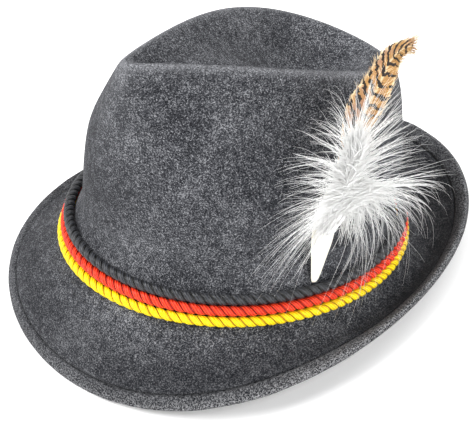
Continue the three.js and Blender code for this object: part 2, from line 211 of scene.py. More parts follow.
class Shader:
    """One material's nodes, and the few ways in which they are added."""

    def __init__(self, name: str) -> None:
        """Starts a material with its Principled node.

        Args:
            name: the material's name.
        """
        self.material = bpy.data.materials.new(name)
        self.material.use_nodes = True
        self.tree = self.material.node_tree
        self.surface = self.tree.nodes["Principled BSDF"]

    def node(
        self,
        kind: str,
        settings: dict[str, object] | None = None,
        inputs: dict[int | str, object] | None = None,
        output: int | str = 0,
    ) -> Term:
        """Adds one node.

        Args:
            kind: the node's type.
            settings: its properties; "stops" holds a colour ramp's stops.
            inputs: values or Terms for its sockets, by name or number.
            output: the socket that is returned.

        Returns:
            The output as a Term.
        """
        node = self.tree.nodes.new(kind)
        for key, value in (settings or {}).items():
            if key == "stops":
                elements = node.color_ramp.elements
                for index, (position, colour) in enumerate(value):
                    stop = elements[index] if index < 2 else elements.new(position)
                    stop.position, stop.color = position, (*colour, 1)
            else:
                setattr(node, key, value)
        for key, value in (inputs or {}).items():
            self.feed(node.inputs[key], value)
        return Term(self, node.outputs[output])

    def feed(self, socket: bpy.types.NodeSocket, value: object) -> None:
        """Sets a socket to a value, or links a Term to it.

        Args:
            socket: the input socket.
            value: a Term, a number, a vector or a colour.
        """
        if isinstance(value, Term):
            self.tree.links.new(value.socket, socket)
        elif isinstance(value, tuple) and len(value) == 3 and socket.type == "RGBA":
            socket.default_value = (*value, 1)
        else:
            socket.default_value = value

    def set(self, **values: object) -> None:
        """Sets the surface's own sockets; an underscore in a name stands for a space."""
        for name, value in values.items():
            self.feed(self.surface.inputs[name.replace("_", " ")], value)

    def maths(self, operation: str, *values: Term | float) -> Term:
        """Adds one Math node on values."""
        return self.node("ShaderNodeMath", {"operation": operation}, dict(enumerate(values)))

    def place(self, source: str = "Object", kind: str = "POINT", **mapping: Triple) -> Term:
        """The place on the object in metres, or on its UV map, moved by a Mapping node."""
        inputs = {"Vector": self.node("ShaderNodeTexCoord", output=source), **mapping}
        return self.node("ShaderNodeMapping", {"vector_type": kind}, inputs)

    def split(self, place: Term) -> tuple[Term, Term]:
        """The first and the second part of a place."""
        first = self.node("ShaderNodeSeparateXYZ", inputs={0: place})
        return first, Term(self, first.socket.node.outputs[1])

    def join(self, first: Term, second: Term) -> Term:
        """A place of two parts."""
        return self.node("ShaderNodeCombineXYZ", inputs={0: first, 1: second})

    def marked(self, name: str) -> Term:
        """How strongly an attribute marks the surface."""
        return self.node("ShaderNodeAttribute", {"attribute_name": name}, output="Fac")

    def noise(self, place: Term, scale: float, detail: float = 2.0, roughness: float = 0.5) -> Term:
        """Soft noise from 0 to 1, mostly near a half."""
        inputs = {"Vector": place, "Scale": scale, "Detail": detail, "Roughness": roughness}
        return self.node("ShaderNodeTexNoise", inputs=inputs)

    def spread(self, value: Term, low: float, high: float) -> Term:
        """Stretches the part of a value between low and high to 0 and 1."""
        inputs = {"Value": value, "From Min": low, "From Max": high}
        return self.node("ShaderNodeMapRange", {"clamp": True}, inputs)

    def wave(self, turns: Term) -> Term:
        """Even waves from -1 to 1, one for each turn."""
        return self.maths("SINE", turns * FULL_TURN)

    def stripes(self, turns: Term) -> Term:
        """Even stripes from 0 to 1, one for each turn."""
        return self.wave(turns) * 0.5 + 0.5

    def mix(self, share: Term, first: Term | Colour, second: Term | Colour) -> Term:
        """Mixes two colours."""
        inputs = {0: share, 6: first, 7: second}
        return self.node("ShaderNodeMix", {"data_type": "RGBA"}, inputs, output=2)

    def bump(self, height: Term, distance: float) -> None:
        """Raises the surface by a height times a distance in metres."""
        inputs = {"Height": height, "Distance": distance, "Strength": 1.0}
        self.set(Normal=self.node("ShaderNodeBump", inputs=inputs))


@dataclass(frozen=True)
class FeltFinish:
    """Wool felt of dark and light fibres matted in all directions, paler where it is cut.

    The parts are the shares of fibres, specks, clouds and patches in the mottling, whose scales
    are counted for each metre. The lies are the fibres' tilts and turns in radians. Painted shade
    darkens the brim and the seam's groove, painted highlights pale the crown's folds, and the cut
    edge's paleness is partly painted highlight.
    """

    name: str = "mottled_wool_felt"
    dark: Colour = tone(19, 20, 23)
    middle: Colour = tone(55, 56, 60)
    light: Colour = tone(164, 165, 169)
    # Pale tone of the cut edge: partly the cut felt's own, partly painted highlight
    cut: Colour = tone(142, 142, 144)
    # Dark tone of the painted shade in the seam's groove
    seam: Colour = tone(16, 17, 18)
    # How strongly painted shade darkens the brim, painted highlight pales the folds, and painted
    # shade darkens the seam's groove
    brim_shade: float = 0.86
    fold_highlight: float = 0.3
    seam_shade: float = 0.85
    fibre: float = 2050
    stretch: float = 3.2
    lies: tuple[tuple[float, float], ...] = ((0.0, 0.4), (1.1, -0.7), (2.1, 1.2), (0.6, 2.2))
    speck: float = 1230
    cloud: float = 210
    patch: float = 24
    parts: tuple[float, float, float, float] = (0.53, 0.27, 0.11, 0.09)
    nap: float = 0.5 * MM

    def fibres(self, shader: Shader) -> Term:
        """Short pale fibres that lie along four directions over one another.

        Args:
            shader: the felt's shader.

        Returns:
            How pale the fibres are.
        """
        laid = None
        for tilt, turned in self.lies:
            lie = {"Rotation": (tilt, turned, tilt), "Scale": (1, self.stretch, 1)}
            grain = shader.noise(shader.place(kind="TEXTURE", **lie), self.fibre, 1, 0.5)
            laid = grain if laid is None else shader.maths("MAXIMUM", laid, grain)
        return laid

    def material(self) -> bpy.types.Material:
        """Builds the felt's material.

        Returns:
            The material.
        """
        shader = Shader(self.name)
        place = shader.place()
        fibres = self.fibres(shader)
        speck = shader.noise(place, self.speck, 2, 0.6)
        cloud = shader.noise(place, self.cloud, 2, 0.5)
        patch = shader.noise(place, self.patch, 1, 0.5)
        most, more, less, least = self.parts
        grain = fibres * most + speck * more + cloud * less + patch * least
        stops = ((0.46, self.dark), (0.72, self.light), (0.56, self.middle))
        mottled = shader.node("ShaderNodeValToRGB", {"stops": stops}, {"Fac": grain})
        # Painted shade: the brim darkened, most towards one side and behind the plume
        shaded = shader.mix(shader.marked("brim") * self.brim_shade, mottled, self.dark)
        # Painted highlight along the crown's sharp folds
        worn = shader.marked("worn") * shader.spread(fibres, 0.4, 0.62) * self.fold_highlight
        shaded = shader.mix(worn, shaded, self.light)
        # The pale cut edge: partly the cut felt's own tone, partly painted highlight
        frayed = shader.marked("cut_edge") * shader.spread(speck * 0.6 + fibres * 0.4, 0.5, 0.62)
        shaded = shader.mix(frayed, shaded, self.cut)
        # Painted shade in the seam's groove
        shaded = shader.mix(shader.marked("seam") * self.seam_shade, shaded, self.seam)
        shader.set(Base_Color=shaded, Roughness=0.95, Specular_IOR_Level=0.1)
        shader.set(Sheen_Weight=0.03, Sheen_Roughness=0.6)
        shader.bump(fibres * 0.5 + speck * 0.5, self.nap)
        return shader.material


@dataclass(frozen=True)
class SatinFinish:
    """Satin yarn of one colour, its threads laid along the strand.

    The threads carry painted highlights and painted shade. Painted shade, of the deep colour,
    darkens the valley between the strands, starting where their outward face falls to its value.
    """

    name: str
    # The paler tone carries the threads' painted highlights, the shade their painted shade
    colour: Colour
    shade: Colour
    # Colour of the painted shade between the strands
    deep: Colour
    valley: float = 0.45
    gloss: float = 0.32
    threads: float = 8
    slant: float = 60
    valley_width: float = 0.45
    thread_height: float = 0.22 * MM

    def material(self) -> bpy.types.Material:
        """Builds the yarn's material, which reads the strand's own map: x along it, y round it.

        Returns:
            The material.
        """
        shader = Shader(self.name)
        place = shader.place("UV")
        along, around = shader.split(place)
        waver = shader.noise(place, 40, 1, 0.5)
        # Stripes along the real threads: painted highlights on them and painted shade between them,
        # broken up by wear
        thread = shader.stripes(around * self.threads + along * self.slant + waver * 0.6)
        wear_and_highlight = shader.noise(shader.place(), 700, 2, 0.5)
        tint = shader.spread(thread * 0.75 + wear_and_highlight * 0.25, 0.28, 0.66)
        # Painted shade in the valley between the strands, where their face turns inwards
        outer = shader.maths("COSINE", around * FULL_TURN)
        painted_crevice_shade = shader.spread(outer, self.valley, self.valley - self.valley_width)
        yarn = shader.mix(tint, self.shade, self.colour)
        shader.set(Base_Color=shader.mix(painted_crevice_shade, yarn, self.deep), Roughness=0.42)
        shader.set(Sheen_Weight=0.05, Sheen_Roughness=0.4, Specular_IOR_Level=self.gloss)
        shader.bump(thread, self.thread_height)
        return shader.material


@dataclass(frozen=True)
class SoftFinish:
    """Two near tones in soft patches, as down, horn, loose barbs and thread have them.

    Patches are counted for each metre or, where they are stretched, on the piece's own map. The
    surface holds more of the Principled node's settings, by name.
    """

    name: str
    shade: Colour
    colour: Colour
    roughness: float = 0.6
    patches: float = 1.0
    detail: float = 2
    grain: float = 0.5
    contrast: tuple[float, float] = (0.35, 0.65)
    stretch: Triple | None = None
    height: float = 0.0
    surface: dict[str, float | Triple] = field(default_factory=dict)

    def material(self) -> bpy.types.Material:
        """Builds the material.

        Returns:
            The material.
        """
        shader = Shader(self.name)
        place = shader.place("UV", Scale=self.stretch) if self.stretch else shader.place()
        patch = shader.noise(place, self.patches, self.detail, self.grain)
        tint = shader.spread(patch, *self.contrast)
        mixed = shader.mix(tint, self.shade, self.colour)
        shader.set(Base_Color=mixed, Roughness=self.roughness, **self.surface)
        if self.height:
            shader.bump(patch, self.height)
        return shader.material


@dataclass(frozen=True)
class FeatherFinish:
    """A tan vane with dark crossbars that slant to the tip, pale at its shaft and edges.

    Bars and barbs are counted along the vane, and their slants are in the same turns, more on
    the front half of the vane.
    """

    name: str = "barred_vane"
    tan: Colour = tone(144, 94, 48)
    gold: Colour = tone(208, 162, 94)
    rose: Colour = tone(168, 126, 106)
    bar: Colour = tone(28, 15, 8)
    cream: Colour = tone(236, 218, 178)
    bars: float = 14
    bar_slant: float = 0.3
    front_slant: float = 1.5
    barbs: float = 150
    barb_slant: float = 16
    bar_edge: tuple[float, float] = (1.2, 1.32)
    barb_height: float = 0.25 * MM

    def ground(self, shader: Shader, blush: Term, streak: Term, barb: Term) -> Term:
        """The vane's colour between its bars.

        Args:
            shader: the vane's shader.
            blush: where it turns rose.
            streak: the fine streaks along the barbs.
            barb: the even barbs.

        Returns:
            The colour.
        """
        colour = shader.mix(shader.spread(streak * 0.7 + barb * 0.3, 0.3, 0.7), self.tan, self.gold)
        colour = shader.mix(blush * 0.7, colour, self.rose)
        return shader.mix(shader.spread(streak, 0.56, 0.68) * 0.75, colour, self.cream)

    def material(self) -> bpy.types.Material:
        """Builds the vane's material, which reads its own map: x along it, y round it.

        Returns:
            The material.
        """
        shader = Shader(self.name)
        along, around = shader.split(shader.place("UV"))
        across = shader.maths("COSINE", around * FULL_TURN)
        off_shaft = shader.maths("ABSOLUTE", across)
        front = shader.spread(across, 0.06, -0.06)
        slant = front * self.front_slant + self.bar_slant
        cells = shader.join(along * 22, across * 2.2)
        waver = shader.noise(cells, 1.0, 2, 0.6)
        bars = shader.wave(along * self.bars - off_shaft * slant + waver * 1.1)
        barb = shader.stripes(along * self.barbs - off_shaft * self.barb_slant)
        lines = shader.join(along * 90 - off_shaft * 9, across * 1.5)
        streak = shader.noise(lines, 1.0, 2, 0.6)
        blush = shader.spread(shader.noise(cells, 0.4, 1, 0.5), 0.45, 0.65) * front
        ground = self.ground(shader, blush, streak, barb)
        pale = shader.spread(off_shaft, 0.8, 0.98) + shader.spread(off_shaft, 0.14, 0.03)
        edged = shader.mix(pale * shader.spread(streak, 0.3, 0.6), ground, self.cream)
        broken = shader.noise(cells, 1.5, 1, 0.5)
        strength = bars * 0.5 + streak * 0.5 + broken * 1.5 + front * 0.16
        dark = shader.spread(strength, *self.bar_edge)
        shader.set(Base_Color=shader.mix(dark, edged, self.bar), Roughness=0.55)
        shader.bump(barb * 0.5 + streak * 0.5, self.barb_height)
        return shader.material


@dataclass(frozen=True)
class FloorFinish:
    """A plain matt floor that glows a little, so that it shows as white as a lit studio's."""

    name: str = "pale_floor"
    colour: Colour = tone(248, 248, 248)
    glow: float = 0.12

    def material(self) -> bpy.types.Material:
        """Builds the floor's material.

        Returns:
            The material.
        """
        shader = Shader(self.name)
        shader.set(Base_Color=self.colour, Roughness=0.9, Specular_IOR_Level=0.1)
        shader.set(Emission_Color=self.colour, Emission_Strength=self.glow)
        return shader.material


class CordTone(Enum):
    """The three cords from the top down, with their finishes."""

    # Each gives the paler tone with painted highlights, the darker painted shade between threads,
    # and the deep painted shade between strands; the black's paler tone is painted highlight on
    # black yarn
    BLACK = SatinFinish(
        "black_satin", tone(50, 52, 58), tone(4, 5, 7), tone(1, 1, 1), valley=0.75, gloss=0.6
    )
    RED = SatinFinish("red_satin", tone(250, 74, 36), tone(184, 20, 9), tone(124, 9, 4))
    YELLOW = SatinFinish("yellow_satin", tone(255, 236, 10), tone(232, 180, 0), tone(176, 126, 0))


class SoftTone(Enum):
    """White down that light passes through, the ivory quill, the tan barbs and the grey thread."""

    DOWN = SoftFinish(
        "white_down",
        tone(246, 246, 244),
        tone(254, 254, 253),
        patches=300,
        height=0.1 * MM,
        surface={
            "Subsurface_Weight": 0.6,
            "Subsurface_Scale": 0.004,
            "Subsurface_Radius": (1, 1, 1),
            "Specular_IOR_Level": 0.3,
        },
    )
    QUILL = SoftFinish(
        "ivory_quill",
        tone(222, 216, 196),
        tone(244, 242, 232),
        roughness=0.45,
        grain=0.6,
        stretch=(3, 40, 1),
        height=0.15 * MM,
        surface={"Subsurface_Weight": 0.1, "Subsurface_Scale": 0.001},
    )
    BARB = SoftFinish(
        "tan_barbs", tone(164, 116, 68), tone(236, 220, 184), patches=260, grain=0.6
    )
    THREAD = SoftFinish(
        "grey_thread",
        tone(34, 35, 37),
        tone(62, 63, 66),
        roughness=0.7,
        patches=2200,
        detail=1,
        contrast=(0, 1),
    )


@dataclass
class HatFrame:
    """Where the hat's own frame lies, and the oval of the crown's foot in it."""

    half_length: float = 101.8 * MM
    half_width: float = 86.15 * MM
    tilt: float = math.radians(8.608)
    plume_angle: float = math.radians(82)
    middle: Vector = field(init=False)

    def __post_init__(self) -> None:
        """Reads the middle of the middle cord, where the frame's origin is."""
        low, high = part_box("cord_red")
        self.middle = (low + high) / 2

    def turn(self, heading: Vector) -> Vector:
        """Turns a direction of the hat's frame to the floor's."""
        return Matrix.Rotation(-self.tilt, 3, "X") @ heading

    def lay(self, point: Vector) -> Vector:
        """Moves a point of the hat's frame to where it lies."""
        return self.middle + self.turn(point)

    def outward(self, angle: float) -> Vector:
        """The oval's outward direction at an angle from the front towards the wearer's left."""
        side, front = math.sin(angle) / self.half_width, -math.cos(angle) / self.half_length
        return Vector((side, front, 0)).normalized()

    def oval(self, angle: float, out: float, up: float) -> Vector:
        """A point beside the crown's foot, in the hat's frame.

        Args:
            angle: radians from the front towards the wearer's left.
            out: metres outwards from the crown's face.
            up: metres above the middle cord.

        Returns:
            The point.
        """
        side, front = self.half_width * math.sin(angle), -self.half_length * math.cos(angle)
        return Vector((side, front, up)) + self.outward(angle) * out

    def plume(self, out: float, back: float, up: float) -> Vector:
        """A point beside the plume's foot, where it lies on the floor.

        Args:
            out: metres outwards from the crown's face.
            back: metres backwards along the crown.
            up: metres above the middle cord.

        Returns:
            The point.
        """
        return self.lay(self.oval(self.plume_angle, out, up) + self.backward() * back)

    def backward(self) -> Vector:
        """The direction backwards along the crown at the plume, in the hat's frame."""
        across = self.half_width * math.cos(self.plume_angle)
        return Vector((across, self.half_length * math.sin(self.plume_angle), 0)).normalized()

    def off_crown(self) -> Vector:
        """The direction straight off the crown at the plume, in the hat's frame."""
        return self.outward(self.plume_angle)


class Workshop:
    """Makes meshes and turns them into dressed pieces."""

    @staticmethod
    def wrap(
        mesh: bmesh.types.BMesh, columns: int, rows: int, place: Place, closed: bool = False
    ) -> None:
        """Adds a tube that is a grid wrapped round: u runs along it and v round it.

        Args:
            mesh: the mesh that it is added to.
            columns: faces along the tube.
            rows: faces round the tube.
            place: gives the point at u and v, both from 0 to 1.
            closed: whether the tube's end meets its start.
        """
        uv = mesh.loops.layers.uv.verify()
        made = bmesh.ops.create_grid(mesh, x_segments=columns, y_segments=rows, size=0.5)["verts"]
        shares = {vertex: (vertex.co.x + 0.5, vertex.co.y + 0.5) for vertex in made}
        for face in {face for vertex in made for face in vertex.link_faces}:
            for loop in face.loops:
                loop[uv].uv = shares[loop.vert]
        for vertex, (u, v) in shares.items():
            vertex.co = place(u % 1.0 if closed else u, v % 1.0)
        bmesh.ops.remove_doubles(mesh, verts=made, dist=1e-7)

    @staticmethod
    def close(mesh: bmesh.types.BMesh) -> None:
        """Closes a mesh's open ends and turns its faces outwards."""
        bmesh.ops.holes_fill(mesh, edges=mesh.edges, sides=0)
        bmesh.ops.recalc_face_normals(mesh, faces=mesh.faces)

    @staticmethod
    def smooth(mesh: bmesh.types.BMesh) -> None:
        """Smooths a mesh once by subdivision, and keeps its attributes.

        Args:
            mesh: the mesh, which gets the finer shape.
        """
        data = bpy.data.meshes.new("smoothed")
        mesh.to_mesh(data)
        shape = bpy.data.objects.new("smoothed", data)
        bpy.context.scene.collection.objects.link(shape)
        step = shape.modifiers.new("smooth", "SUBSURF")
        step.levels = step.render_levels = 1
        shown = shape.evaluated_get(bpy.context.evaluated_depsgraph_get())
        result = bpy.data.meshes.new_from_object(shown)
        mesh.clear()
        mesh.from_mesh(result)
        bpy.data.objects.remove(shape)

    @staticmethod
    def piece(
        name: str, mesh: bmesh.types.BMesh, finish: Finish, slot: str, *nodes: str
    ) -> bpy.types.Object:
        """Makes a smooth piece of a mesh, dresses it and has it stand for nodes of the solids.

        Args:
            name: the piece's name.
            mesh: its mesh, which is freed.
            finish: the finish whose material it gets.
            slot: not used.
            nodes: the nodes that it stands for.

        Returns:
            The piece.
        """
        data = bpy.data.meshes.new(name)
        mesh.to_mesh(data)
        mesh.free()
        return Workshop.dress(bpy.data.objects.new(name, data), finish, slot, *nodes)

    @staticmethod
    def dress(made: bpy.types.Object, finish: Finish, slot: str, *nodes: str) -> bpy.types.Object:
        """Links a mesh object, gives it its finish and ties it to the hat.

        Args:
            made: the object.
            finish: the finish whose material it gets.
            slot: not used.
            nodes: the nodes that it stands for.

        Returns:
            The same object, as a piece.
        """
        bpy.context.scene.collection.objects.link(made)
        made.data.materials.clear()
        made.data.materials.append(finish.material())
        made.data.polygons.foreach_set("use_smooth", [True] * len(made.data.polygons))
        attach(made, "root")
        if nodes:
            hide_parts(*nodes)
        LOG.info("%s: %d faces", made.name, len(made.data.polygons))
        return made

    @staticmethod
    def hairs(name: str, strands: Iterable[Strand]) -> bpy.types.Object:
        """Makes thin tapered tubes as one mesh.

        Args:
            name: the object's name.
            strands: for each tube, its points with their radii in metres.

        Returns:
            The mesh object, which isn't linked yet.
        """
        curve = bpy.data.curves.new(name, "CURVE")
        outline = bpy.data.curves.new("outline", "CURVE")
        outline.dimensions = "2D"
        ring = outline.splines.new("POLY")
        ring.points.add(HAIR_SIDES - 1)
        for i, point in enumerate(ring.points):
            around = i * FULL_TURN / HAIR_SIDES
            point.co = (math.cos(around), math.sin(around), 0, 1)
        ring.use_cyclic_u = True
        profile = bpy.data.objects.new("outline", outline)
        bpy.context.scene.collection.objects.link(profile)
        curve.dimensions, curve.bevel_mode, curve.bevel_object = "3D", "OBJECT", profile
        curve.use_fill_caps = True
        for strand in strands:
            spline = curve.splines.new("POLY")
            spline.points.add(len(strand) - 1)
            for point, (place, radius) in zip(spline.points, strand):
                point.co, point.radius = (*place, 1), radius
        shape = bpy.data.objects.new(name, curve)
        bpy.context.scene.collection.objects.link(shape)
        shown = shape.evaluated_get(bpy.context.evaluated_depsgraph_get())
        data = bpy.data.meshes.new_from_object(shown)
        data.name = name
        bpy.data.objects.remove(shape)
        bpy.data.objects.remove(profile)
        return bpy.data.objects.new(name, data)


@dataclass
class FeltBody:
    """The one-piece felt: the solid's own form, smoothed, with a sewn hem and a folded edge.

    Rings are counted from the top face's pole, through the brim's edge, to the lining's pole.
    """

    finish: FeltFinish = FeltFinish()
    columns: int = 50
    side_ring: int = 13
    foot_ring: int = 26
    shaded_rings: int = 4
    hem_ring: int = 32
    rim_ring: int = 36
    fold_bend: tuple[float, float] = (0.04, 0.15)

    # How pale each ring of the cut edge is, partly by painted highlight
    cut_shares: dict[int, float] = field(
        default_factory=lambda: {33: 0.3, 34: 0.6, 35: 1, 36: 1, 37: 0.6, 38: 0.1}
    )

    # Painted highlight on the cut edge and painted shade on the brim: what they have all round,
    # more towards one side of the hat, and the brim's extra painted shade behind the plume
    painted_shading_side: float = math.radians(80)
    dark_side: float = math.radians(120)
    cut_even: float = 0.625
    cut_side_highlight: float = 0.375
    brim_even: float = 0.46
    brim_side_shade: float = 0.24
    brim_behind: float = 0.3

    # The hem's seam: how far it and the rings beside it slide inwards, and its groove
    seam_slides: dict[int, float] = field(default_factory=lambda: {-2: 0.3, -1: 0.7, 0: 1, 1: 1})
    seam_shift: float = 1.5 * MM
    side_shift: float = 1.7 * MM
    half_brim: float = 120 * MM
    groove_width: float = 1.0 * MM
    groove_depth: float = 1.3 * MM
    band_rise: float = 0.8 * MM

    # The crack in the folded edge, and the long and short waves of the cut
    crack_width: float = 0.55 * MM
    crack_depth: float = 0.9 * MM
    edge_wobble: float = 0.75 * MM
    long_wave: float = 7 * MM
    short_wave: float = 2.6 * MM
    short_share: float = 0.7

    # The running stitch: places along one stitch, with the rise there in threads
    stitch_pitch: float = 4.4 * MM
    stitch_share: float = 0.72
    stitch_lift: float = 0.25 * MM
    stitch_shape: tuple[tuple[float, float], ...] = (
        (0, -0.5),
        (0.15, 0.35),
        (0.5, 0.6),
        (0.85, 0.35),
        (1, -0.5),
    )
    thread: float = 0.27 * MM

    def rings(self, mesh: bmesh.types.BMesh) -> dict[bmesh.types.BMVert, int]:
        """Counts each vertex's ring from the upper pole.

        Args:
            mesh: the felt, of triangles.

        Returns:
            The ring of each vertex, 0 at the upper pole.
        """
        poles = [vertex for vertex in mesh.verts if len(vertex.link_edges) == self.columns]
        edge = [max(poles, key=lambda vertex: vertex.co.z)]
        found = {edge[0]: 0}
        while edge:
            ahead = []
            for vertex in edge:
                for link in vertex.link_edges:
                    other = link.other_vert(vertex)
                    if other not in found:
                        found[other] = found[vertex] + 1
                        ahead.append(other)
            edge = ahead
        return found

    @staticmethod
    def square(mesh: bmesh.types.BMesh, rings: dict[bmesh.types.BMVert, int]) -> None:
        """Takes out the edges that cut the felt's squares into triangles.

        Args:
            mesh: the felt, of triangles.
            rings: the ring of each vertex.
        """
        last = max(rings.values())
        slants = set()
        for face in mesh.faces:
            deepest = max(rings[vertex] for vertex in face.verts)
            deep = [loop for loop in face.loops if rings[loop.vert] == deepest]
            if len(deep) == 1 and deepest < last:
                slants.add(deep[0].edge)
        bmesh.ops.dissolve_edges(mesh, edges=list(slants), use_verts=False)

    def widen(self, rings: dict[bmesh.types.BMVert, int]) -> None:
        """Slides the rings beside the hem's seam inwards, most at the sides of the brim.

        Args:
            rings: the ring of each vertex.
        """
        moves = {}
        for vertex, ring in rings.items():
            share = self.seam_slides.get(ring - self.hem_ring)
            if share is None:
                continue
            beside = [edge.other_vert(vertex) for edge in vertex.link_edges]
            inner = next(other for other in beside if rings[other] == ring - 1)
            side = abs(vertex.co.x) / self.half_brim
            shift = self.seam_shift + self.side_shift * side ** 3
            moves[vertex] = (inner.co - vertex.co).normalized() * (shift * share)
        for vertex, move in moves.items():
            vertex.co += move

    def wear_and_highlight(self, mesh: bmesh.types.BMesh, rings: dict[bmesh.types.BMVert, int]) -> None:
        """Marks the crown's folds, where the felt bends outwards sharply and takes a painted
        highlight.

        Args:
            mesh: the felt.
            rings: the ring of each vertex.
        """
        worn = mesh.verts.layers.float["worn"]
        low, high = self.fold_bend
        for vertex, ring in rings.items():
            if not 1 < ring < self.side_ring:
                continue
            around = [edge.other_vert(vertex).co for edge in vertex.link_edges]
            middle = sum(around, Vector()) / len(around)
            reach = sum((place - vertex.co).length for place in around) / len(around)
            bend = vertex.normal.dot(vertex.co - middle) / reach
            vertex[worn] = clamp((bend - low) / (high - low))

    def tint(self, mesh: bmesh.types.BMesh, rings: dict[bmesh.types.BMVert, int]) -> None:
        """Marks the cut edge, pale partly by painted highlight, and the brim's painted shade,
        darkest behind the plume.

        Args:
            mesh: the felt.
            rings: the ring of each vertex.
        """
        cut_edge, brim = (mesh.verts.layers.float[name] for name in ("cut_edge", "brim"))
        for vertex, ring in rings.items():
            around = math.atan2(vertex.co.x, -vertex.co.y)
            # Painted highlight on the cut edge and painted shade on the brim, both strongest
            # towards one side
            facing = math.cos(around - self.painted_shading_side)
            behind = max(math.cos(around - self.dark_side), 0.0) ** 2
            pale = self.cut_even + self.cut_side_highlight * facing
            dark = self.brim_even + self.brim_side_shade * facing + self.brim_behind * behind
            vertex[cut_edge] = self.cut_shares.get(ring, 0.0) * pale
            vertex[brim] = clamp((ring - self.foot_ring) / self.shaded_rings) * dark

    @staticmethod
    def crease(
        mesh: bmesh.types.BMesh, loop: list[bmesh.types.BMEdge], width: float, depth: float
    ) -> list[bmesh.types.BMVert]:
        """Cuts a groove along a closed loop of edges.

        Args:
            mesh: the felt.
            loop: the loop's edges.
            width: the groove's half width.
            depth: how deep its bottom lies.

        Returns:
            The vertices of the groove's bottom.
        """
        made = bmesh.ops.bevel(
            mesh,
            geom=loop,
            offset=width,
            segments=2,
            profile=0.5,
            affect="EDGES",
            loop_slide=True,
            material=-1,
        )
        strips = set(made["faces"])
        mesh.normal_update()
        bottom = [vertex for vertex in made["verts"] if strips.issuperset(vertex.link_faces)]
        for vertex in bottom:
            vertex.co -= vertex.normal * depth
        return bottom

    def shape(self, mesh: bmesh.types.BMesh) -> list[tuple[Vector, Vector]]:
        """Gives the felt its squares, its hem and its folded edge.

        Args:
            mesh: the solid's mesh, merged.

        Returns:
            The hem's seam in order round the brim, as places with their normals.
        """
        for name in ("cut_edge", "seam", "brim", "worn"):
            mesh.verts.layers.float.new(name)
        seam = mesh.verts.layers.float["seam"]
        rings = self.rings(mesh)
        self.square(mesh, rings)
        mesh.normal_update()
        self.wear_and_highlight(mesh, rings)
        for vertex, ring in rings.items():
            if ring == self.hem_ring + 1:
                vertex.co += vertex.normal * self.band_rise
        self.tint(mesh, rings)
        self.widen(rings)
        hem, rim = {self.hem_ring, self.hem_ring + 1}, {self.rim_ring}
        across = [edge for edge in mesh.edges if {rings[v] for v in edge.verts} == hem]
        fold = [edge for edge in mesh.edges if {rings[v] for v in edge.verts} == rim]
        split = bmesh.ops.subdivide_edges(mesh, edges=across, cuts=1)
        sewn = {item for item in split["geom_inner"] if isinstance(item, bmesh.types.BMVert)}
        line = [edge for edge in mesh.edges if sewn.issuperset(edge.verts)]
        self.crease(mesh, fold, self.crack_width, self.crack_depth)
        bottom = self.crease(mesh, line, self.groove_width, self.groove_depth)
        # The groove's bottom is marked for the seam's painted shade
        for vertex in bottom:
            vertex[seam] = 1.0
        order = sorted(bottom, key=lambda vertex: math.atan2(vertex.co.y, vertex.co.x))
        return [(vertex.co.copy(), vertex.normal.copy()) for vertex in order]

    def fray(self, mesh: bmesh.types.BMesh) -> None:
        """Makes the cut edge uneven, and keeps the felt above the floor.

        Args:
            mesh: the felt.
        """
        cut_edge = mesh.verts.layers.float["cut_edge"]
        for vertex in mesh.verts:
            share = vertex[cut_edge]
            if share > 0:
                uneven = noise.noise(vertex.co / self.long_wave)
                uneven += self.short_share * noise.noise(vertex.co / self.short_wave)
                vertex.co += vertex.normal * (uneven * share * self.edge_wobble)
            vertex.co.z = max(vertex.co.z, 0.0)

    def stitches(self, seam: list[tuple[Vector, Vector]]) -> bpy.types.Object:
        """Sews the hem with a running stitch along its seam.

        Args:
            seam: the seam's places and normals in order.

        Returns:
            The thread piece.
        """
        count = len(seam)
        length = sum((seam[i][0] - seam[i - 1][0]).length for i in range(count))
        number = round(length / self.stitch_pitch)
        strands = []
        for stitch in range(number):
            strand = []
            for share, rise in self.stitch_shape:
                at = (stitch + share * self.stitch_share) / number * count
                i, part = int(at) % count, at % 1.0
                (place, normal), (ahead, _) = seam[i], seam[(i + 1) % count]
                lift = rise * self.thread + self.stitch_lift
                strand.append((place.lerp(ahead, part) + normal * lift, self.thread))
            strands.append(strand)
        made = Workshop.hairs("hem_thread", strands)
        return Workshop.dress(made, SoftTone.THREAD.value, "felt")

    def build(self, solid: bpy.types.Object) -> None:
        """Makes the felt from the solid's mesh, and its thread.

        Args:
            solid: the CAD node.
        """
        mesh = bmesh.new()
        mesh.from_mesh(solid.data)
        bmesh.ops.remove_doubles(mesh, verts=mesh.verts, dist=1e-6)
        seam = self.shape(mesh)
        Workshop.smooth(mesh)
        self.fray(mesh)
        piece = Workshop.piece("felt_body", mesh, self.finish, "felt", "hat_felt")
        smooth = piece.modifiers.new("smooth", "SUBSURF")
        smooth.levels = smooth.render_levels = 1
        self.stitches(seam)


